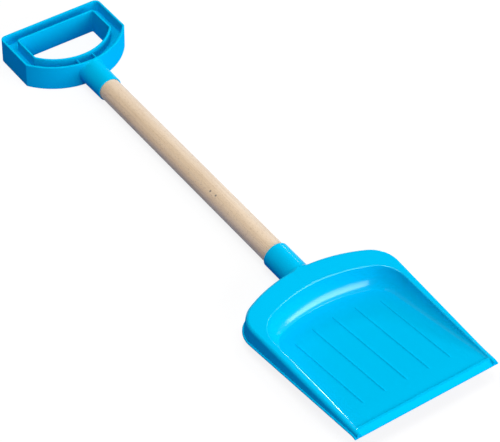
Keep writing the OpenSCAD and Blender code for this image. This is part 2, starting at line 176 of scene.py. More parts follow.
class GripSizes(bpy.types.PropertyGroup):
    """Sizes of the moulded D-grip."""

    socket_length: length("Socket length", "Length of the socket in front of the grip's wall", 31.8)
    mouth_wall: length("Mouth wall", "Wall of the socket at its mouth", 1.2)
    root_wall: length("Root wall", "Wall of the socket at its root", 1.6)
    mouth_round: length("Mouth edge", "Radius of the socket's edges at its mouth", 0.35)
    bore_sink: length("Bore sink", "How far the bore runs into the grip's wall", 0.5)
    arc_radius: length("Front radius", "Plan radius of the curved front wall", 67.3)
    front_corner: length("Front corners", "Plan radius where the front wall meets the sides", 1.2)
    far_corner: length("Far corners", "Plan radius of the grip's far corners", 6)
    limb: length("Side limb", "Width of each side limb", 14)
    bar: length("Far bar", "Width of the far bar", 13.5)
    yoke: length("Front limb", "Width of the curved front limb on the middle line", 13.6)
    hand_radius: length("Opening radius", "Plan radius of the opening's curved edge", 51.3)
    hand_corner: length("Opening corners", "Plan radius of the opening's corners", 1.5)
    outer_wall: length("Outer wall", "Thickness of the outer wall", 2.2)
    inner_wall: length("Inner wall", "Thickness of the wall round the hand opening", 2)
    web: length("Web", "Thickness of the web between the walls", 2)
    rim_round: length("Rim edges", "Radius of the walls' edges", 0.5)
    web_fillet: length("Web fillet", "Fillet between the web and the walls", 0.9)
    rib_spacing: length("Rib spacing", "Spacing of the two cross ribs", 17.3)
    rib_thickness: length("Rib thickness", "Thickness of the cross ribs", 1.2)
    rib_drop: length("Rib drop", "Depth of the ribs' tops below the walls", 3.5)
    seam_round: length("Seam fillet", "Fillet where the socket meets the front wall", 1.6)


class FitSizes(bpy.types.PropertyGroup):
    """Sizes of the screws and of the fit between shaft and sockets."""

    clearance: length("Clearance", "Radial clearance of the shaft in its sockets", 0.1)
    head_diameter: length("Screw head", "Diameter of a screw's countersunk head", 5)
    shank_diameter: length("Screw shank", "Diameter over a screw's thread", 3)
    root_diameter: length("Thread root", "Diameter at the bottom of the thread", 2.1)
    thread_pitch: length("Thread pitch", "Pitch of the screws' thread", 1.2)
    recess_span: length("Recess span", "Span of the cross recess in a screw's head", 2.9)
    recess_width: length("Recess width", "Width of that recess's slots", 0.75)
    recess_depth: length("Recess depth", "Depth of that recess", 1)
    hole_clearance: length("Hole clearance", "Clearance round a screw", 0.08)


class Finish(bpy.types.PropertyGroup):
    """Colours of the materials."""

    plastic: colour("Plastic", "Colour of the moulded blade and grip", "#00B9E8")
    plastic_deep: colour("Plastic, deep", "Colour where the melt flowed last", "#00B5E5")
    plastic_gloss: colour("Plastic gloss", "Tint of the plastic's gloss", "#DCFCFF")
    # The two beech side colours are painted light and shade: the shaded side is painted warm and bright, the
    # lit side pale and dim
    wood_painted_shade_side: colour("Beech, painted shade side", "Colour of the shaft's warmer side", "#FFDAA8")
    wood_painted_lit_side: colour("Beech, painted lit side", "Colour of the shaft's paler side", "#CBBBA8")
    wood_dark: colour("Beech, late wood", "Colour of the late wood and the flecks", "#B99874")
    wood_pale: colour("Beech, pale", "Colour of the pale early wood", "#F0DAC0")
    knot: colour("Pin knot", "Colour of the pin knots in the beech", "#55585C")
    steel: colour("Screw steel", "Colour of the zinc-plated screws", "#B9BDC1")
    floor: colour("Floor", "Colour of the studio floor in its own light", "#6E6E6E")
    bounce: colour("Bounce", "Colour of the light that the floor throws back", "#3566BC")


class StageSizes(bpy.types.PropertyGroup):
    """Camera and lights of the studio."""

    aim: FloatVectorProperty(
        name="Aim", description="Point that the camera looks at",
        default=(0.00591, -0.03576, 0.0128), subtype="XYZ",
    )
    distance: length("Distance", "From the camera to that point", 1878.9)
    azimuth: angle("Azimuth", "Turn of the camera round the shovel", -36.4216)
    elevation: angle("Elevation", "Height of the camera above the horizon", 43.631)
    roll: angle("Roll", "Turn of the camera about its own axis", 1.7876)
    lens: FloatProperty(name="Lens", description="Focal length in mm on a 36 mm frame", default=154.217)
    world: FloatProperty(name="Room light", description="Strength of the plain room light", default=0.17)
    room: colour("Room", "Colour of the room light", "#FFFFFF")


def mix(a, b, t):
    """The value that lies a share t of the way from a to b."""
    return a + (b - a) * t


def steps(count):
    """Shares from 0 to 1 in that many equal steps, both ends included."""
    return [i / count for i in range(count + 1)]


def quarter_turn(count):
    """Angles from 0 to 90 degrees in that many equal steps."""
    return [t * math.pi / 2 for t in steps(count)]


def quarter_round(radius, count):
    """Distances from the two faces of an edge to points on its round, from one face to the other."""
    return [(radius * (1 - math.cos(a)), radius * (1 - math.sin(a))) for a in quarter_turn(count)]


def full_turn(count):
    """That many angles, spaced evenly round a circle."""
    return [math.tau * i / count for i in range(count)]


def curve(start, bend, end, t):
    """The point a share t along the curve that sets out for the bend and arrives from it."""
    return mix(mix(start, bend, t), mix(bend, end, t), t)


def on_arc(centre, radius, turn):
    """A plan point on a circle."""
    return centre + radius * Vector((math.cos(turn), math.sin(turn)))


def raised(rail, height):
    """A plan rail lifted to the height that a function gives at each y."""
    return [Vector((p.x, p.y, height(p.y))) for p in rail]


def mirrored(half):
    """Both halves of a rail that starts on the right and ends on the middle line."""
    return [Vector((-p.x, p.y)) for p in half] + half[-2::-1]


def rounded_corner(across, up, radius):
    """Signed distance to a corner with a round edge, from the distances to its two faces."""
    a = across + radius
    b = up + radius
    return math.hypot(max(a, 0), max(b, 0)) + min(max(a, b), 0) - radius


class BladeForm:
    """Heights, plan rails and section of the blade, worked out from its sizes."""

    STRIP_MARGIN = 0.3 * MM
    STEP_RUN = 2.2 * MM
    BLEND_RUN = 20 * MM
    HOLLOW_MIN = 0.4 * MM
    HOLLOW_RUN = 13 * MM
    FLAT_MIN = 0.3 * MM
    LIP_SLOPE = 0.1 * MM
    ROUND_SHARE = 0.35
    CHAMFER_SHARE = 0.4
    BEND_SHARE = 0.15
    BEND_RISE = 0.3
    FILLET_START = 0.86

    def __init__(self, size, clearance):
        self.size = size
        self.bore = SHAFT_RADIUS + clearance
        self.socket_radius = self.bore + size.socket_wall
        self.mouth = BLADE_HIGH.y - ORIGIN.y
        self.tray_back = size.length - size.flange_back
        self.floor_back = self.tray_back - size.inset_back
        self.strip_foot = size.strip + self.STEP_RUN
        self.floor_blend = size.strip + self.BLEND_RUN
        self.strip_top = self.rim_z(size.strip) - self.STRIP_MARGIN
        drop = self.plane_z(self.strip_foot) - self.strip_top + size.strip_step
        self.floor_lift = drop / (self.floor_blend - self.strip_foot) ** 2
        self.heel = size.length + size.lip_reach + size.skirt_draft * size.skirt_back
        self.skirt_start = size.rim_front - size.skirt_front
        self.skirt_end = size.rim_back - size.skirt_back
        self.edge_dip = self.skirt_start - self.under_z(0)
        self.edge = self.outer_rail(0)
        self.outward = [(q - p) / MM for p, q in zip(self.edge, self.outer_rail(-MM))]
        self.tray = self.tray_rail(0)
        self.width = [(p - q).dot(n) for p, q, n in zip(self.edge, self.tray, self.outward)]
        self.edge_round = [self.edge_round_at(p.y, width) for p, width in zip(self.edge, self.width)]

    def rim_z(self, y):
        return mix(self.size.rim_front, self.size.rim_back, y / self.size.length)

    def plane_z(self, y):
        slope = math.tan(self.size.floor_slope)
        return self.rim_z(self.floor_back) - self.size.tray_depth + slope * (self.floor_back - y)

    def floor_z(self, y):
        if y >= self.strip_foot:
            return self.plane_z(y) - self.floor_lift * max(0, self.floor_blend - y) ** 2
        return self.strip_top - self.size.strip_fall * (1 - min(1, y / self.size.strip))

    def under_z(self, y):
        thickness = mix(self.size.edge_thickness, self.size.wall, min(1, y / self.size.strip))
        return self.floor_z(y) - thickness

    def skirt_z(self, y):
        level = mix(self.skirt_start, self.skirt_end, y / self.heel)
        return level - self.edge_dip * max(0, 1 - y / self.size.strip)

    def hollow_z(self, y):
        low = self.skirt_z(y) + self.HOLLOW_MIN
        share = max(0, min(1, (y - self.size.strip) / self.HOLLOW_RUN))
        return mix(low, self.rim_z(y) - self.size.wall, share)

    def rim_round_at(self, y):
        depth = self.rim_z(y) - self.floor_z(min(y, self.floor_back))
        return min(self.size.rim_round, self.ROUND_SHARE * depth)

    def edge_round_at(self, y, width):
        """The flange's edge is rounded as far as its width and the skirt's height allow."""
        room = self.rim_z(y) - self.skirt_z(y) - self.size.lip_thickness - self.FLAT_MIN
        return min(self.size.flange_round, width - self.size.rim_round - self.FLAT_MIN, room)

    def lean_at(self, y):
        return self.size.skirt_draft * (self.rim_z(y) - self.skirt_z(y))

    def rail(self, inward, *measures):
        """Straight sides, round back corners and a wide back arc, each tangent to the next.

        The measures, which are less by the inward distance, are half the width in front, half the width at
        the back, the back's place, and the radii of the back and of its corners.
        """
        front_w, back_w, back_y, back_r, corner_r = [measure - inward for measure in measures]
        corner_x = back_w - corner_r
        arc_y = back_y - back_r
        corner = Vector((corner_x, arc_y + math.sqrt((back_r - corner_r) ** 2 - corner_x**2)))
        away = Vector((front_w, 0)) - corner
        start = math.acos(corner_r / away.length) + math.atan2(away.y, away.x)
        join = math.atan2(corner.y - arc_y, corner.x)
        tangent = on_arc(corner, corner_r, start)
        front = [0, self.size.strip] + [mix(self.strip_foot, self.floor_blend, t) for t in steps(BLEND_STEPS)]
        side = front + [mix(self.floor_blend, tangent.y, t) for t in steps(SIDE_STEPS)[1:-1]]
        half = [Vector((mix(front_w, tangent.x, y / tangent.y), y)) for y in side]
        half += [on_arc(corner, corner_r, mix(start, join, t)) for t in steps(CORNER_STEPS)[:-1]]
        turns = [mix(join, math.pi / 2, t) for t in steps(BACK_STEPS)[:-1]]
        half += [on_arc(Vector((0, arc_y)), back_r, turn) for turn in turns]
        return mirrored(half + [Vector((0, back_y))])

    def outer_rail(self, inward):
        size = self.size
        return self.rail(
            inward, size.front_width / 2, size.back_width / 2,
            size.length, size.back_radius, size.corner_radius,
        )

    def tray_rail(self, inward):
        size = self.size
        return self.rail(
            inward, size.front_width / 2 - size.flange_front, size.back_width / 2 - size.flange_side,
            self.tray_back, size.tray_back_radius, size.tray_corner_radius,
        )

    def floor_rail(self, inward):
        size = self.size
        return self.rail(
            inward, size.front_width / 2 - size.flange_front - size.inset_front,
            size.back_width / 2 - size.flange_side - size.inset_side,
            self.floor_back, size.tray_back_radius - size.inset_back / 2, size.floor_corner_radius,
        )

    def edge_rail(self, distances):
        """The flange's outer edge, moved out by a distance of its own at every station."""
        return [p + n * d for p, n, d in zip(self.edge, self.outward, distances)]

    def skirt_line(self, out, height):
        """A line along the skirt's foot, which leans out from the flange."""
        rail = self.edge_rail([self.lean_at(p.y) + out for p in self.edge])
        return raised(rail, lambda y: self.skirt_z(y) + height)

    def rounded_edge(self, turn):
        """A line along the flange's round edge, from its shoulder at 0 to its flat top at 90 degrees."""
        rail = self.edge_rail([r * (math.cos(turn) - 1) for r in self.edge_round])
        fall = 1 - math.sin(turn)
        return [Vector((p.x, p.y, self.rim_z(p.y) - r * fall)) for p, r in zip(rail, self.edge_round)]

    def lip_and_skirt(self):
        """Rails up the outside, from the foot of the lip to the flat top of the flange."""
        size = self.size
        reach = size.lip_reach
        top = size.lip_thickness
        edge = size.lip_round
        lip = [(reach - edge, 0), (reach, edge), (reach, top - edge), (reach - edge, top)]
        rails = [self.skirt_line(out, height) for out, height in lip]
        root = self.skirt_line(0, top + self.LIP_SLOPE)
        shoulder = self.rounded_edge(0)
        rails += [[mix(p, q, t) for p, q in zip(root, shoulder)] for t in steps(SKIRT_ROWS)[:-1]]
        return rails + [self.rounded_edge(turn) for turn in quarter_turn(ROUND_STEPS)]

    def bent(self, top, foot, t):
        """A line along a wall that bends near its foot, a share t of the way down."""
        line = []
        for p, q in zip(top, foot):
            bend = mix(p, q, self.BEND_SHARE)
            bend.z = mix(q.z, p.z, self.BEND_RISE)
            line.append(curve(p, bend, q, t))
        return line

    def rim_and_wall(self):
        """Rails from the tray's round rim down its wall and fillet to the edge of its floor."""
        rails = []
        for fall, outward in quarter_round(1, ROUND_STEPS)[:-1]:
            rim = self.tray_rail(-outward * self.size.rim_round)
            rails.append([
                Vector((p.x, p.y, self.rim_z(p.y) - fall * self.rim_round_at(q.y)))
                for p, q in zip(rim, self.tray)
            ])
        wall_top = raised(self.tray, lambda y: self.rim_z(y) - self.rim_round_at(y))
        floor_edge = raised(self.floor_rail(0), self.floor_z)
        rails += [self.bent(wall_top, floor_edge, t * self.FILLET_START) for t in steps(WALL_STEPS)]
        fillet_end = raised(self.floor_rail(self.size.floor_fillet), self.floor_z)
        fillet_start = rails.pop()
        for t in steps(ROUND_STEPS):
            rails.append([curve(*line, t) for line in zip(fillet_start, floor_edge, fillet_end)])
        return rails

    def underside(self):
        """Rails back along the underside, from the floor through the hollow to the skirt's foot."""
        wall = self.size.wall
        foot = raised(self.floor_rail(0), self.under_z)
        top = raised(self.tray_rail(-wall), self.hollow_z)
        chamfer = []
        for p, r, width in zip(self.edge, self.edge_round, self.width):
            height = self.hollow_z(p.y) - self.skirt_z(p.y)
            chamfer.append(min(self.CHAMFER_SHARE * r, width / 2 - wall, height / 2))
        upper = raised(self.edge_rail([-wall - c for c in chamfer]), self.hollow_z)
        lower = raised(self.edge_rail([-wall] * len(chamfer)), self.hollow_z)
        for p, c in zip(lower, chamfer):
            p.z -= c
        rails = [self.bent(top, foot, 1 - t) for t in steps(WALL_STEPS)]
        return rails + [upper, lower, self.skirt_line(-wall, 0)]

    def outside(self, p):
        """Signed distance to the back of the flange, its skirt and its lip."""
        size = self.size
        rim = self.rim_z(p.y)
        foot = self.skirt_z(p.y)
        shoulder = rim - size.flange_round
        root = foot + size.lip_thickness + self.LIP_SLOPE
        lean = self.lean_at(p.y)
        across = math.hypot(p.x, p.y - size.length + size.back_radius) - size.back_radius
        skirt = across - lean * max(0, min(1, (shoulder - p.z) / (shoulder - root)))
        body = max(rounded_corner(skirt, p.z - rim, size.flange_round), foot - p.z)
        middle = size.lip_thickness / 2
        above = abs(p.z - foot - middle) - middle
        return min(body, rounded_corner(across - lean - size.lip_reach, above, size.lip_round))

    def socket_outside(self, p):
        """Signed distance to the round outside of the socket."""
        return math.hypot(p.x, p.z) - self.socket_radius


class GripForm:
    """Plan rails and section of the D-grip, worked out from its sizes."""

    CORNER_MIN = 0.3 * MM
    PLAN_CORNER_STEPS = 8
    BAR_STEPS = 4

    def __init__(self, size, clearance):
        self.size = size
        self.bore = SHAFT_RADIUS + clearance
        self.half_height = (GRIP_HIGH.z - GRIP_LOW.z) / 2
        self.front = GRIP_MOUTH + size.socket_length
        self.arc_y = self.front + size.arc_radius
        self.half_width = (GRIP_HIGH.x - GRIP_LOW.x) / 2

    def d_rail(self, arc_y, inward, *measures):
        """Plan of a D: curved front, straight sides and a straight far bar with round corners.

        The measures, which are less by the inward distance, are half the width, the far bar's place, and the
        radii of the curved front, of its corners and of the far corners.
        """
        half_w, far_y, arc_r, near_r, far_r = [measure - inward for measure in measures]
        near_r = max(near_r, self.CORNER_MIN)
        far_r = max(far_r, self.CORNER_MIN)
        near_x = half_w - near_r
        near = Vector((near_x, arc_y - math.sqrt((arc_r - near_r) ** 2 - near_x**2)))
        far = Vector((half_w - far_r, far_y - far_r))
        join = math.atan2(near.y - arc_y, near.x)
        turn = self.PLAN_CORNER_STEPS
        half = [Vector((mix(0, half_w - far_r, t), far_y)) for t in steps(self.BAR_STEPS)[:-1]]
        half += [on_arc(far, far_r, mix(math.pi / 2, 0, t)) for t in steps(turn)]
        half += [on_arc(near, near_r, mix(0, join, t)) for t in steps(turn)]
        half += [on_arc(Vector((0, arc_y)), arc_r, mix(join, -math.pi / 2, t)) for t in steps(YOKE_STEPS)[1:]]
        return half + [Vector((-p.x, p.y)) for p in half[-2:0:-1]]

    def outer_rail(self, inward):
        size = self.size
        return self.d_rail(
            self.arc_y, inward, self.half_width, GRIP_FAR,
            size.arc_radius, size.front_corner, size.far_corner,
        )

    def hand_rail(self, outward):
        size = self.size
        return self.d_rail(
            self.front + size.yoke + size.hand_radius, -outward, self.half_width - size.limb,
            GRIP_FAR - size.bar, size.hand_radius, size.hand_corner, size.hand_corner,
        )

    def section(self):
        """Rails round the H-shaped section, as (rail function, inset, height)."""
        size = self.size
        top = self.half_height
        edge = size.rim_round
        web = size.web / 2
        face = [(self.outer_rail, 0, mix(edge - top, top - edge, t)) for t in steps(FACE_ROWS)[:-1]]
        rim = [(d, top - e) for d, e in quarter_round(edge, EDGE_STEPS)]
        root = [(e, web + d) for d, e in reversed(quarter_round(size.web_fillet, EDGE_STEPS))]
        over = [(self.outer_rail, d, z) for d, z in rim]
        over += [(self.outer_rail, size.outer_wall - d, z) for d, z in reversed(rim)]
        over += [(self.outer_rail, size.outer_wall + d, z) for d, z in root]
        over += [(self.hand_rail, size.inner_wall + d, z) for d, z in reversed(root)]
        over += [(self.hand_rail, size.inner_wall - d, z) for d, z in rim]
        over += [(self.hand_rail, d, z) for d, z in reversed(rim)]
        under = [(rail, d, -z) for rail, d, z in reversed(over)]
        return [[p.to_3d() + Vector((0, 0, z)) for p in rail(d)] for rail, d, z in face + over + under[:-1]]

    def socket_radius(self, y):
        share = (y - GRIP_MOUTH) / self.size.socket_length
        return self.bore + mix(self.size.mouth_wall, self.size.root_wall, min(1, share))

    def outside(self, p):
        """Signed distance to the grip's curved front wall."""
        across = math.hypot(p.x, p.y - self.arc_y) - self.size.arc_radius
        return rounded_corner(across, abs(p.z) - self.half_height, self.size.rim_round)

    def socket_outside(self, p):
        """Signed distance to the tapered outside of the socket."""
        return math.hypot(p.x, p.z) - self.socket_radius(p.y)


def new_object(name, mesh):
    """Adds an object for a mesh to the scene."""
    made = bpy.data.objects.new(name, mesh)
    bpy.context.scene.collection.objects.link(made)
    return made


def solid(name, points, faces):
    """A closed mesh object from points and faces, with its faces turned outwards."""
    mesh = bpy.data.meshes.new(name)
    mesh.from_pydata([p + ORIGIN for p in points], [], faces)
    shell = bmesh.new()
    shell.from_mesh(mesh)
    bmesh.ops.remove_doubles(shell, verts=shell.verts, dist=MERGE_DISTANCE)
    bmesh.ops.recalc_face_normals(shell, faces=shell.faces)
    shell.to_mesh(mesh)
    shell.free()
    return new_object(name, mesh)


def lofted(rails, around, along):
    """Points and faces of a loft: around closes the rails in a ring, along closes each rail."""
    count = len(rails[0])
    points = [p for rail in rails for p in rail]
    faces = []
    for k in range(len(rails) if around else len(rails) - 1):
        after = (k + 1) % len(rails)
        for j in range(count if along else count - 1):
            beside = (j + 1) % count
            faces.append((k * count + j, k * count + beside, after * count + beside, after * count + j))
    return points, faces


def capped(name, rails):
    """A solid from a loft of closed rails, with a flat face on the first and on the last."""
    points, faces = lofted(rails, False, True)
    sides = len(rails[0])
    ends = [tuple(range(sides)), tuple(range(len(points) - sides, len(points)))]
    return solid(name, points, faces + ends)


def turned(name, profile):
    """A solid turned about the shaft's axis from a profile of (radius, distance) pairs."""
    turns = full_turn(TURNED_SIDES)
    return capped(name, [[Vector((r * math.sin(a), y, r * math.cos(a))) for a in turns] for r, y in profile])


def combine(target, operation, *tools):
    """Joins or cuts the target with each tool and removes the tools."""
    for tool in tools:
        cut = target.modifiers.new(operation, "BOOLEAN")
        cut.operation = operation
        cut.object = tool
        cut.solver = "MANIFOLD"
        keep_result(target)
        discard(tool)


def keep_result(target):
    """Turns an object's modifiers into its plain mesh."""
    shown = target.evaluated_get(bpy.context.evaluated_depsgraph_get())
    mesh = bpy.data.meshes.new_from_object(shown)
    target.modifiers.clear()
    old = target.data
    target.data = mesh
    bpy.data.meshes.remove(old)


def discard(tool):
    """Removes a tool and its mesh."""
    mesh = tool.data
    bpy.data.objects.remove(tool)
    bpy.data.meshes.remove(mesh)


def soften_seam(target, node, first, second, radius):
    """Rolls a fillet along the seam of two forms, within the height of the CAD node.

    Points near the seam move onto the rounded union of the forms' signed distances.
    """
    slack = 0.06 * MM
    probe = 0.01 * MM
    passes = 6
    low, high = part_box(node)

    def rounded(p):
        a = first(p)
        b = second(p)
        return max(radius, min(a, b)) - math.hypot(max(radius - a, 0), max(radius - b, 0))

    for vertex in target.data.vertices:
        p = vertex.co - ORIGIN
        a = first(p)
        b = second(p)
        if abs(min(a, b)) > slack or max(a, b) > radius:
            continue
        for _ in range(passes):
            here = rounded(p)
            slope = Vector([(rounded(p + probe * axis) - here) / probe for axis in AXES])
            if slope.length_squared > 0:
                p = p - slope * (here / slope.length_squared)
        moved = p + ORIGIN
        moved.z = max(low.z, min(high.z, moved.z))
        vertex.co = moved


def dress(piece, material, slot, *nodes):
    """Shades a finished piece, gives it its material and lets it stand for its CAD nodes."""
    mesh = piece.data
    mesh.materials.clear()
    mesh.materials.append(material)
    mesh.shade_smooth()
    mesh.set_sharp_from_angle(angle=SHARP_ANGLE)
    normals = piece.modifiers.new("even shading", "WEIGHTED_NORMAL")
    normals.keep_sharp = True
    keep_result(piece)
    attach(piece, BODY)
    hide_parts(*nodes)


def linear(code):
    """Linear RGBA of an sRGB hex colour."""
    parts = [int(code[i : i + 2], 16) / 255 for i in (1, 3, 5)]
    return [c / 12.92 if c <= 0.04045 else ((c + 0.055) / 1.055) ** 2.4 for c in parts] + [1]


class Wiring:
    """Adds nodes to a tree, with short forms for those that repeat."""

    def __init__(self, tree):
        self.tree = tree

    def fill(self, node, inputs):
        """Sets or links a node's inputs, given by identifier, name or number."""
        known = {socket.identifier: socket for socket in node.inputs}
        for name, value in inputs.items():
            socket = known.get(name) or node.inputs[name]
            if isinstance(value, bpy.types.NodeSocket):
                self.tree.links.new(value, socket)
            else:
                socket.default_value = value

    def add(self, kind, inputs=None, **settings):
        """A new node with its settings and inputs."""
        made = self.tree.nodes.new(kind)
        for name, value in settings.items():
            setattr(made, name, value)
        self.fill(made, inputs or {})
        return made

    def out(self, kind, inputs=None, **settings):
        """The first output of a new node."""
        return self.add(kind, inputs, **settings).outputs[0]

    def calc(self, operation, *terms):
        return self.out("ShaderNodeMath", dict(enumerate(terms)), operation=operation)

    def vector(self, operation, *terms):
        return self.out("ShaderNodeVectorMath", dict(enumerate(terms)), operation=operation)

    def parts(self, vector):
        return self.add("ShaderNodeSeparateXYZ", {0: vector}).outputs

    def ramp(self, value, start, end, first, last):
        """A number that goes from the first to the last as the value goes from start to end."""
        return self.out("ShaderNodeMapRange", {
            "Value": value, "From Min": start, "From Max": end, "To Min": first, "To Max": last,
        })

    def noise(self, where, scale, detail):
        return self.out("ShaderNodeTexNoise", {"Vector": where, "Scale": scale, "Detail": detail})

    def bump(self, height, strength, distance):
        return self.out("ShaderNodeBump", {"Height": height, "Strength": strength, "Distance": distance})

    def blend(self, share, first, second):
        """The colour that lies a share of the way from the first to the second."""
        colours = {"Factor_Float": share, "A_Color": first, "B_Color": second}
        return self.add("ShaderNodeMix", colours, data_type="RGBA").outputs[MIXED_COLOUR]


def new_material(name):
    """A material with its tree's wiring, Principled shader and Object coordinates, or the one made before."""
    material = bpy.data.materials.get(name)
    if material:
        return material, None, None, None
    material = bpy.data.materials.new(name)
    material.use_nodes = True
    wire = Wiring(material.node_tree)
    place = wire.add("ShaderNodeTexCoord").outputs["Object"]
    return material, wire, wire.tree.nodes["Principled BSDF"], place


def polypropylene(finish):
    """Injection-moulded polypropylene: deep even colour, soft tinted gloss and a trace of orange peel."""
    material, wire, shader, place = new_material("moulded_polypropylene")
    if not wire:
        return material
    calc = wire.calc
    ramp = wire.ramp
    flow_size = 60 * MM
    peel_size = 3 * MM
    floor_fade = 6 * MM
    edge_fade = 1.5 * MM
    socket_fade = 8 * MM
    polished = 0.8
    satin = 0.02
    # The polish goes by area, to come near the photograph's highlights: the rim and the back wall of the
    # tray are glossy, the floor and the steep walls are dull, and the rest is satin. A face's tilt is the
    # height of its normal: 0 on an upright wall and 1 on a level face. The pairs are tilts between which
    # the polish fades: in above steep walls, in on top of the rim's round, and out towards level faces.
    steep = (0.3, 0.6)
    rounded = (0.7, 0.85)
    level = (0.95, 0.99)
    tilt = calc("ABSOLUTE", wire.parts(wire.add("ShaderNodeTexCoord").outputs["Normal"])["Z"])
    spot = wire.parts(place)
    across = calc("ABSOLUTE", spot["X"])
    off_floor = ramp(across, FLOOR_SIDE - floor_fade, FLOOR_SIDE, 0, 1)
    beside = calc("MULTIPLY", off_floor, ramp(tilt, *rounded, 0, 1))
    back_wall = ramp(spot["Y"], FLOOR_BACK - floor_fade, FLOOR_BACK, 0, 1)
    polish = calc("MAXIMUM", beside, back_wall)
    for limit in (
        ramp(tilt, *steep, 0, polished),
        ramp(tilt, *level, 1, satin),
        ramp(spot["Y"], POLISH_FRONT, POLISH_FRONT + edge_fade, satin, 1),
        ramp(across, EDGE_SIDE, EDGE_SIDE + edge_fade, 1, satin),
        ramp(spot["Y"], SATIN_START, SATIN_START + socket_fade, 1, satin),
    ):
        polish = calc("MULTIPLY", polish, limit)
    flow = wire.noise(place, 1 / flow_size, detail=2)
    peel = wire.noise(place, 1 / peel_size, detail=1)
    wire.fill(shader, {
        "Base Color": wire.blend(flow, linear(finish.plastic), linear(finish.plastic_deep)),
        "Normal": wire.bump(peel, strength=0.03, distance=0.2 * MM),
        "Specular IOR Level": polish, "Specular Tint": linear(finish.plastic_gloss),
        "Roughness": 0.16, "IOR": 1.49,
    })
    return material


def beech(finish):
    """Sanded beech: painted light and shade across the dowel, bands and lines along the shaft, short flecks
    and pin knots.
    """
    material, wire, shader, place = new_material("sanded_beech")
    if not wire:
        return material

    def drawn_out(across, along, detail):
        """Noise with features of a given width, drawn out along the shaft to a given length."""
        return wire.noise(wire.vector("MULTIPLY", place, (1 / across, 1 / along, 1 / across)), 1, detail)

    def measured(operation, point):
        """The number that a vector operation gives for each place and one point."""
        return wire.add("ShaderNodeVectorMath", {0: place, 1: point}, operation=operation).outputs["Value"]

    def stained(surface, value, low, high, most, code):
        """A colour laid over a surface, up to the most, as the value goes from low to high."""
        return wire.blend(wire.ramp(value, low, high, 0, most), surface, linear(code))

    # Painted light and shade: the dowel's shaded side is painted warmer and brighter and its lit side,
    # towards the side lamp, paler and darker, to come near the tones in the photograph
    towards_lit_side = (0.85, 0, 0.53)
    axis = ORIGIN.z * towards_lit_side[2]
    reach = 9 * MM
    side = measured("DOT_PRODUCT", towards_lit_side)
    surface = stained(linear(finish.wood_painted_shade_side), side, axis - reach, axis + reach, 1, finish.wood_painted_lit_side)
    # Width, length and detail of the bands, lines and flecks, the noise between which each comes in, the
    # most that it covers, and its colour. The flecks, which come last, are felt too.
    for width, long, detail, low, high, most, code in (
        (6 * MM, 240 * MM, 2, 0.35, 0.65, 0.5, finish.wood_pale),
        (0.9 * MM, 60 * MM, 2, 0.5, 0.75, 0.45, finish.wood_dark),
        (0.3 * MM, 2.4 * MM, 0, 0.62, 0.74, 0.6, finish.wood_dark),
    ):
        grain = drawn_out(width, long, detail)
        surface = stained(surface, grain, low, high, most, code)
    for knot in PIN_KNOTS:
        away = measured("DISTANCE", knot)
        surface = stained(surface, away, PIN_KNOT_SIZE, PIN_KNOT_SIZE / 3, 0.9, finish.knot)
    relief = wire.bump(grain, strength=0.12, distance=0.1 * MM)
    wire.fill(shader, {"Base Color": surface, "Normal": relief, "Roughness": 0.55})
    return material


def zinc_steel(finish):
    """Zinc-plated steel: grey metal with a fine uneven gloss."""
    material, wire, shader, place = new_material("zinc_plated_steel")
    if not wire:
        return material
    grain_size = 0.4 * MM
    rough = wire.ramp(wire.noise(place, 1 / grain_size, detail=2), 0, 1, 0.25, 0.45)
    wire.fill(shader, {"Base Color": linear(finish.steel), "Metallic": 1, "Roughness": rough})
    return material


def new_tree(name, kinds):
    """The wiring and the inputs of a geometry tree, whose inputs' names are listed by kind of socket."""
    tree = bpy.data.node_groups.new(name, "GeometryNodeTree")
    tree.interface.new_socket("Geometry", in_out="OUTPUT", socket_type="NodeSocketGeometry")
    for kind, labels in kinds.items():
        for label in labels:
            tree.interface.new_socket(label, in_out="INPUT", socket_type="NodeSocket" + kind)
    return Wiring(tree), tree.nodes.new("NodeGroupInput").outputs


def close_tree(wire, geometry, material):
    """Ends a tree in real geometry with its material."""
    real = wire.out("GeometryNodeRealizeInstances", {"Geometry": geometry})
    done = wire.out("GeometryNodeSetMaterial", {"Geometry": real, "Material": material})
    wire.add("NodeGroupOutput", {"Geometry": done})
    return wire.tree


def grown(name, tree, values):
    """A plain mesh object from a tree, with its inputs set before it is first evaluated."""
    made = new_object(name, bpy.data.meshes.new(name))
    modifier = made.modifiers.new(name, "NODES")
    modifier.node_group = tree
    for item in tree.interface.items_tree:
        if item.in_out == "INPUT":
            modifier[item.identifier] = values[item.name]
    keep_result(made)
    return made


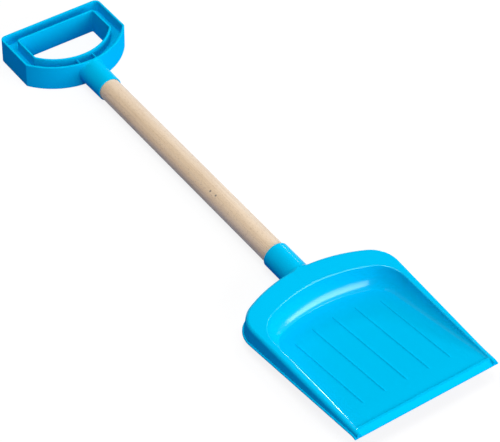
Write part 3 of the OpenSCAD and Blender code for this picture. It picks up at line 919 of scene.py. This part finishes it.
def bead_tree():
    """Round beads that run back along the sloping floor and stop short of the tray's back wall."""
    wire, given = new_tree("floor_beads", {
        "Object": ["Blade"], "Int": ["Count"], "Float": ["Pitch", "Radius", "Margin"],
        "Vector": ["Front", "Slope", "Sink"], "Material": ["Material"],
    })
    out = wire.out
    calc = wire.calc
    vector = wire.vector
    stations = 48
    sides = 20

    def sideways(distance):
        return out("ShaderNodeCombineXYZ", {"X": distance})

    half_row = calc("MULTIPLY", calc("SUBTRACT", given["Count"], 1), calc("MULTIPLY", given["Pitch"], -0.5))
    row = out("GeometryNodeMeshLine", {
        "Count": given["Count"], "Start Location": vector("ADD", given["Front"], sideways(half_row)),
        "Offset": sideways(given["Pitch"]),
    }, mode="OFFSET")
    line = out("GeometryNodeCurvePrimitiveLine", {"Start": (0, 0, 0), "End": (0, 1, 0)})
    stroke = out("GeometryNodeResampleCurve", {"Curve": line, "Count": stations}, mode="COUNT")
    strokes = out("GeometryNodeInstanceOnPoints", {"Points": row, "Instance": stroke})
    curves = out("GeometryNodeRealizeInstances", {"Geometry": strokes})
    # Each stroke starts over its bead's front end. A ray along the floor finds the back wall.
    across = wire.parts(out("GeometryNodeInputPosition"))["X"]
    start = vector("ADD", given["Front"], sideways(across))
    shell = wire.add("GeometryNodeObjectInfo", {"Object": given["Blade"]})
    ray = wire.add("GeometryNodeRaycast", {
        "Target Geometry": shell.outputs["Geometry"], "Source Position": start,
        "Ray Direction": given["Slope"], "Ray Length": 1.0,
    })
    run = calc("SUBTRACT", ray.outputs["Hit Distance"], given["Margin"])
    # Stations lie close together near both ends, where the bead is round
    share = wire.add("GeometryNodeSplineParameter").outputs["Factor"]
    eased = calc("MULTIPLY_ADD", calc("COSINE", calc("MULTIPLY", share, math.pi)), -0.5, 0.5)
    reach = {0: given["Slope"], "Scale": calc("MULTIPLY", eased, run)}
    along = out("ShaderNodeVectorMath", reach, operation="SCALE")
    place = vector("ADD", vector("ADD", start, given["Sink"]), along)
    placed = out("GeometryNodeSetPosition", {"Geometry": curves, "Position": place})
    to_end = calc("MULTIPLY", calc("MINIMUM", eased, calc("SUBTRACT", 1.0, eased)), run)
    inside = calc("SUBTRACT", 1.0, calc("MINIMUM", calc("DIVIDE", to_end, given["Radius"]), 1.0))
    swell = calc("SQRT", calc("SUBTRACT", 1.0, calc("MULTIPLY", inside, inside)))
    ring = out("GeometryNodeCurvePrimitiveCircle", {"Resolution": sides, "Radius": given["Radius"]})
    swept = out("GeometryNodeCurveToMesh", {"Curve": placed, "Profile Curve": ring, "Scale": swell})
    closed = out("GeometryNodeMergeByDistance", {"Geometry": swept, "Distance": MERGE_DISTANCE})
    return close_tree(wire, closed, given["Material"])


def screw_tree():
    """Countersunk screws, heads down: a shank with a helical thread, a point and a cross recess."""
    wire, given = new_tree("countersunk_screws", {
        "Vector": ["First", "Second", "Recess X", "Recess Y"], "Material": ["Material"],
        "Float": ["Length", "Head Radius", "Thread Radius", "Root Radius", "Pitch"],
    })
    out = wire.out
    calc = wire.calc
    blank = {"Vertices": 32, "Side Segments": 120, "Radius": 1.0, "Depth": 1.0}
    rod = wire.add("GeometryNodeMeshCylinder", blank, fill_type="TRIANGLE_FAN").outputs["Mesh"]
    spot = wire.parts(out("GeometryNodeInputPosition"))
    height = calc("MULTIPLY", calc("ADD", spot["Z"], 0.5), given["Length"])
    turn = calc("DIVIDE", calc("ARCTAN2", spot["Y"], spot["X"]), math.tau)
    phase = calc("FRACT", calc("SUBTRACT", calc("DIVIDE", height, given["Pitch"]), turn))
    ridge = calc("SUBTRACT", 1.0, calc("ABSOLUTE", calc("MULTIPLY_ADD", phase, 2.0, -1.0)))
    depth = calc("SUBTRACT", given["Thread Radius"], given["Root Radius"])
    thread = calc("MULTIPLY_ADD", calc("POWER", ridge, 2.0), depth, given["Root Radius"])
    cone = calc("SUBTRACT", given["Head Radius"], height)
    point = calc("MULTIPLY", calc("SUBTRACT", given["Length"], height), 0.5)
    radius = calc("MINIMUM", calc("MAXIMUM", thread, cone), point)
    shape = out("ShaderNodeCombineXYZ", {
        "X": calc("MULTIPLY", spot["X"], radius), "Y": calc("MULTIPLY", spot["Y"], radius), "Z": height,
    })
    shaped = out("GeometryNodeSetPosition", {"Geometry": rod, "Position": shape})
    merged = out("GeometryNodeMergeByDistance", {"Geometry": shaped, "Distance": MERGE_DISTANCE})
    cross = wire.add("GeometryNodeMeshBoolean", operation="UNION", solver="EXACT")
    for slot in ("Recess X", "Recess Y"):
        cube = out("GeometryNodeMeshCube", {"Size": given[slot]})
        wire.tree.links.new(cube, cross.inputs["Mesh 2"])
    parts = {"Mesh 1": merged, "Mesh 2": cross.outputs[0]}
    cut = out("GeometryNodeMeshBoolean", parts, operation="DIFFERENCE", solver="EXACT")
    ends = {"Count": 2, "Start Location": given["First"], "Offset": given["Second"]}
    places = out("GeometryNodeMeshLine", ends, mode="END_POINTS")
    both = out("GeometryNodeInstanceOnPoints", {"Points": places, "Instance": cut})
    return close_tree(wire, both, given["Material"])


def screw_places():
    """The middles of the two screws' heads, at the foot of each screw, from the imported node."""
    corners = [v.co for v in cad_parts["socket_screws"].data.vertices]
    places = []
    for near in (True, False):
        group = [p for p in corners if (p.y < 0) == near]
        ends = [p.y for p in group]
        places.append(Vector((0, (min(ends) + max(ends)) / 2, min(p.z for p in group))))
    return places


def screw_hole(fit, place):
    """A tool that cuts a countersunk hole for a screw, open below."""
    grow = fit.hole_clearance
    head = fit.head_diameter / 2 + grow
    shank = fit.shank_diameter / 2 + grow
    rise = (fit.head_diameter - fit.shank_diameter) / 2
    past = 2 * MM
    long = 6 * MM
    turns = full_turn(HOLE_SIDES)
    rails = []
    middle = place - ORIGIN
    for radius, z in ((head, -past), (head, 0), (shank, rise), (shank, long)):
        rails.append([middle + on_arc(Vector((0, 0)), radius, a).to_3d() + Vector((0, 0, z)) for a in turns])
    return capped("screw_hole", rails)


class SHOVEL_OT_blade(bpy.types.Operator):
    """Build the moulded blade with its tray, beads and socket"""

    bl_idname = "shovel.blade"
    bl_label = "Blade"

    def execute(self, context):
        size = context.scene.shovel_blade
        fit = context.scene.shovel_fit
        plastic = polypropylene(context.scene.shovel_finish)
        form = BladeForm(size, fit.clearance)
        blade = self.shell(form)
        beads = self.beads(form, blade, plastic)
        combine(blade, "UNION", self.socket(form), beads)
        combine(blade, "DIFFERENCE", self.bore(form), screw_hole(fit, screw_places()[0]))
        soften_seam(blade, "blade", form.outside, form.socket_outside, size.seam_round)
        dress(blade, plastic, "blue_plastic", "blade")
        return {"FINISHED"}

    def shell(self, form):
        """The lofted shell: its sections, the floor between its two sides and the digging edge."""
        top = form.lip_and_skirt() + form.rim_and_wall()
        rails = top + form.underside()
        points, faces = lofted(rails, True, False)
        count = len(rails[0])
        inner = len(top) - 1
        spans = count - 1
        faces = [f for i, f in enumerate(faces) if i // spans != inner]
        for j in range(spans // 2):
            far = spans - j
            for k in (inner, inner + 1):
                faces.append(tuple(k * count + i for i in dict.fromkeys((j, j + 1, far - 1, far))))
        left = [k * count for k in range(len(rails))]
        right = [k * count + spans for k in range(len(rails))]
        edge = left[: inner + 1] + right[inner::-1] + right[:inner:-1] + left[inner + 1 :]
        return solid("blade_moulding", points, faces + [tuple(edge)])

    def socket(self, form):
        """The round socket, with close rows where it passes through the skirt."""
        radius = form.socket_radius
        edge = form.size.mouth_round
        start = form.tray_back + form.size.socket_stop - form.size.socket_end
        reach = 8 * MM
        heel = form.size.length
        close = [(radius, mix(heel - reach, heel + reach, t)) for t in steps(SEAM_ROWS)]
        mouth = [(radius - d, form.mouth - e) for d, e in quarter_round(edge, ROUND_STEPS)]
        return turned("socket", [(radius, start)] + close + mouth)

    def bore(self, form):
        """The bore for the shaft, eased at its mouth."""
        ease = 0.3 * MM
        wide = form.bore + ease
        bottom = form.tray_back + form.size.socket_stop
        return turned("bore", [
            (form.bore, bottom), (form.bore, form.mouth - ease), (wide, form.mouth), (wide, form.mouth + ease)
        ])

    def beads(self, form, blade, plastic):
        size = form.size
        slope = size.floor_slope
        normal = Vector((0, math.sin(slope), math.cos(slope)))
        front = Vector((0, size.bead_front, form.plane_z(size.bead_front)))
        return grown("beads", bead_tree(), {
            "Blade": blade, "Count": size.bead_count, "Pitch": size.bead_pitch,
            "Front": front + ORIGIN + normal * size.bead_height,
            "Slope": Vector((0, math.cos(slope), -math.sin(slope))),
            "Radius": size.bead_radius, "Sink": -normal * size.bead_radius,
            "Margin": size.bead_margin, "Material": plastic,
        })


class SHOVEL_OT_grip(bpy.types.Operator):
    """Build the moulded D-grip with its socket, web and ribs"""

    bl_idname = "shovel.grip"
    bl_label = "D-grip"

    def execute(self, context):
        size = context.scene.shovel_grip
        fit = context.scene.shovel_fit
        form = GripForm(size, fit.clearance)
        grip = solid("d_grip_moulding", *lofted(form.section(), True, True))
        combine(grip, "UNION", self.socket(form), self.rib(form, -1), self.rib(form, 1))
        combine(grip, "DIFFERENCE", self.bore(form), screw_hole(fit, screw_places()[1]))
        soften_seam(grip, "d_grip", form.outside, form.socket_outside, size.seam_round)
        dress(grip, polypropylene(context.scene.shovel_finish), "blue_plastic", "d_grip")
        return {"FINISHED"}

    def socket(self, form):
        """The tapered socket, with close rows near the grip's wall."""
        before = 10 * MM
        behind = 9 * MM
        lip = form.socket_radius(GRIP_MOUTH)
        edge = quarter_round(form.size.mouth_round, EDGE_STEPS)
        mouth = [(lip - e, GRIP_MOUTH + d) for d, e in edge]
        close = [mix(form.front - before, form.front + behind, t) for t in steps(SEAM_ROWS)]
        close = [y for y in close if y < form.front + form.size.outer_wall / 2]
        return turned("grip_socket", mouth + [(form.socket_radius(y), y) for y in close])

    def bore(self, form):
        """The bore for the shaft, eased at its mouth."""
        ease = 0.25 * MM
        bottom = form.front + form.size.bore_sink
        return turned("grip_bore", [
            (form.bore + ease, GRIP_MOUTH - ease), (form.bore + ease, GRIP_MOUTH),
            (form.bore, GRIP_MOUTH + ease), (form.bore, bottom),
        ])

    def rib(self, form, side):
        """One cross rib between the front wall and the wall round the hand opening."""
        size = form.size
        left = side * size.rib_spacing / 2 - size.rib_thickness / 2
        low = Vector((left, form.front + size.outer_wall / 2, 0))
        high = low + Vector((size.rib_thickness, size.yoke - size.outer_wall / 2 - size.inner_wall / 2, 0))
        tall = form.half_height - size.rib_drop
        points = [Vector((x, y, z)) for z in (-tall, tall) for y in (low.y, high.y) for x in (low.x, high.x)]
        faces = [(0, 1, 3, 2), (4, 5, 7, 6), (0, 1, 5, 4), (2, 3, 7, 6), (0, 2, 6, 4), (1, 3, 7, 5)]
        return solid("rib", points, faces)


class SHOVEL_OT_shaft(bpy.types.Operator):
    """Give the turned shaft its beech finish"""

    bl_idname = "shovel.shaft"
    bl_label = "Shaft"

    def execute(self, context):
        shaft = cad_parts["shaft"]
        shaft.data.materials.clear()
        shaft.data.materials.append(beech(context.scene.shovel_finish))
        return {"FINISHED"}


class SHOVEL_OT_screws(bpy.types.Operator):
    """Build the two countersunk screws under the sockets"""

    bl_idname = "shovel.screws"
    bl_label = "Socket screws"

    def execute(self, context):
        fit = context.scene.shovel_fit
        steel = zinc_steel(context.scene.shovel_finish)
        first, second = screw_places()
        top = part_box("socket_screws")[1].z
        slot = Vector((fit.recess_span, fit.recess_width, 2 * fit.recess_depth))
        screws = grown("screws", screw_tree(), {
            "First": first, "Second": second, "Length": top - max(first.z, second.z),
            "Head Radius": fit.head_diameter / 2, "Thread Radius": fit.shank_diameter / 2,
            "Root Radius": fit.root_diameter / 2, "Pitch": fit.thread_pitch,
            "Recess X": slot, "Recess Y": Vector((slot.y, slot.x, slot.z)), "Material": steel,
        })
        dress(screws, steel, "screw_steel", "socket_screws")
        return {"FINISHED"}


class SHOVEL_OT_stage(bpy.types.Operator):
    """Set up the floor, the soft lights and the camera"""

    bl_idname = "shovel.stage"
    bl_label = "Stage"

    # Soft boxes: name, direction from the shovel, distance, width and height in metres, power in watts
    LIGHTS = (
        ("overhead", (-0.14, -0.05, 0.98), 1.6, (1.0, 1.0), 16.3),
        ("front", (0.33, -0.89, 0.309), 3.0, (3.4, 1.5), 84),
        ("side", (0.95, -0.2, 0.22), 3.0, (1.3, 1.3), 12),
        ("rim", (0.43, -0.15, 0.89), 1.6, (0.25, 0.25), 2.4),
        ("strip", (0.75, 0.56, 0.34), 1.6, (0.2, 0.2), 6),
    )

    def execute(self, context):
        scene = context.scene
        stage = scene.shovel_stage
        scene.view_settings.view_transform = "Standard"
        self.floor(scene.shovel_finish)
        self.world(scene, stage)
        for name, towards, distance, size, power in self.LIGHTS:
            self.light(name, Vector(towards), distance, size, power)
        self.camera(scene, stage)
        return {"FINISHED"}

    def floor(self, finish):
        """A wide sheet of paper, just below the shovel."""
        half = 8.0
        drop = 0.2 * MM
        mesh = bpy.data.meshes.new("floor")
        corners = [(-half, -half, -drop), (half, -half, -drop), (half, half, -drop), (-half, half, -drop)]
        mesh.from_pydata(corners, [], [(0, 1, 2, 3)])
        floor = new_object("floor", mesh)
        mesh.materials.append(self.paper(finish))

    def paper(self, finish):
        """White paper for the eye and for reflections, which still takes the shovel's soft shadow.

        Other light that it throws back has the bounce colour.
        """
        material, wire, shader, _ = new_material("studio_paper")
        wire.tree.nodes.remove(shader)
        own_light = 0.86
        rays = wire.add("ShaderNodeLightPath").outputs
        seen = rays["Is Camera Ray"]
        for kind in ("Is Glossy Ray", "Is Transmission Ray"):
            seen = wire.calc("MAXIMUM", seen, rays[kind])
        paper = wire.out("ShaderNodeBsdfDiffuse", {"Color": linear(finish.floor)})
        bounce = wire.out("ShaderNodeBsdfDiffuse", {"Color": linear(finish.bounce)})
        white = wire.out("ShaderNodeEmission", {"Color": (1, 1, 1, 1), "Strength": own_light})
        lit = wire.out("ShaderNodeAddShader", {0: paper, 1: white})
        either = wire.out("ShaderNodeMixShader", {"Fac": seen, 1: bounce, 2: lit})
        wire.fill(wire.tree.nodes["Material Output"], {"Surface": either})
        return material

    def world(self, scene, stage):
        scene.world = bpy.data.worlds.new("room")
        scene.world.use_nodes = True
        room = scene.world.node_tree.nodes["Background"]
        room.inputs["Color"].default_value = linear(stage.room)
        room.inputs["Strength"].default_value = stage.world

    def light(self, name, towards, distance, size, power):
        """A soft box that looks back at the shovel from a direction and distance."""
        lamp = bpy.data.lights.new(name, "AREA")
        lamp.shape = "RECTANGLE"
        lamp.size, lamp.size_y = size
        lamp.energy = power
        box = bpy.data.objects.new(name, lamp)
        bpy.context.scene.collection.objects.link(box)
        box.location = towards.normalized() * distance
        box.rotation_euler = towards.to_track_quat("Z", "Y").to_euler()

    def camera(self, scene, stage):
        lens = bpy.data.cameras.new("camera")
        lens.sensor_width = 36
        lens.lens = stage.lens
        camera = bpy.data.objects.new("camera", lens)
        scene.collection.objects.link(camera)
        turn = Euler((math.pi / 2 - stage.elevation, 0, stage.azimuth)).to_matrix()
        turn = turn @ Euler((0, 0, stage.roll)).to_matrix()
        camera.rotation_euler = turn.to_euler()
        camera.location = Vector(stage.aim) + turn.col[2] * stage.distance
        scene.camera = camera


class SHOVEL_PT_panel(bpy.types.Panel):
    """The shovel's sizes, colours and build steps"""

    bl_label = "Sand Shovel"
    bl_idname = "SHOVEL_PT_panel"
    bl_space_type = "VIEW_3D"
    bl_region_type = "UI"
    bl_category = "Shovel"

    def draw(self, context):
        for operator in OPERATORS:
            self.layout.operator(operator.bl_idname)
        for name in GROUPS:
            box = self.layout.box()
            group = getattr(context.scene, name)
            box.label(text=group.bl_rna.description)
            for item in group.bl_rna.properties:
                if item.identifier not in ("name", "rna_type"):
                    box.prop(group, item.identifier)


GROUPS = {
    "shovel_blade": BladeSizes,
    "shovel_grip": GripSizes,
    "shovel_fit": FitSizes,
    "shovel_finish": Finish,
    "shovel_stage": StageSizes,
}
OPERATORS = (SHOVEL_OT_stage, SHOVEL_OT_blade, SHOVEL_OT_grip, SHOVEL_OT_shaft, SHOVEL_OT_screws)


def register():
    for name, group in GROUPS.items():
        bpy.utils.register_class(group)
        setattr(bpy.types.Scene, name, PointerProperty(type=group))
    for kind in (*OPERATORS, SHOVEL_PT_panel):
        bpy.utils.register_class(kind)


def unregister():
    for kind in (SHOVEL_PT_panel, *reversed(OPERATORS)):
        bpy.utils.unregister_class(kind)
    for name, group in reversed(GROUPS.items()):
        delattr(bpy.types.Scene, name)
        bpy.utils.unregister_class(group)


def main():
    register()
    bpy.ops.shovel.stage()
    bpy.ops.shovel.blade()
    bpy.ops.shovel.grip()
    bpy.ops.shovel.shaft()
    bpy.ops.shovel.screws()


if __name__ == "__main__":
    main()
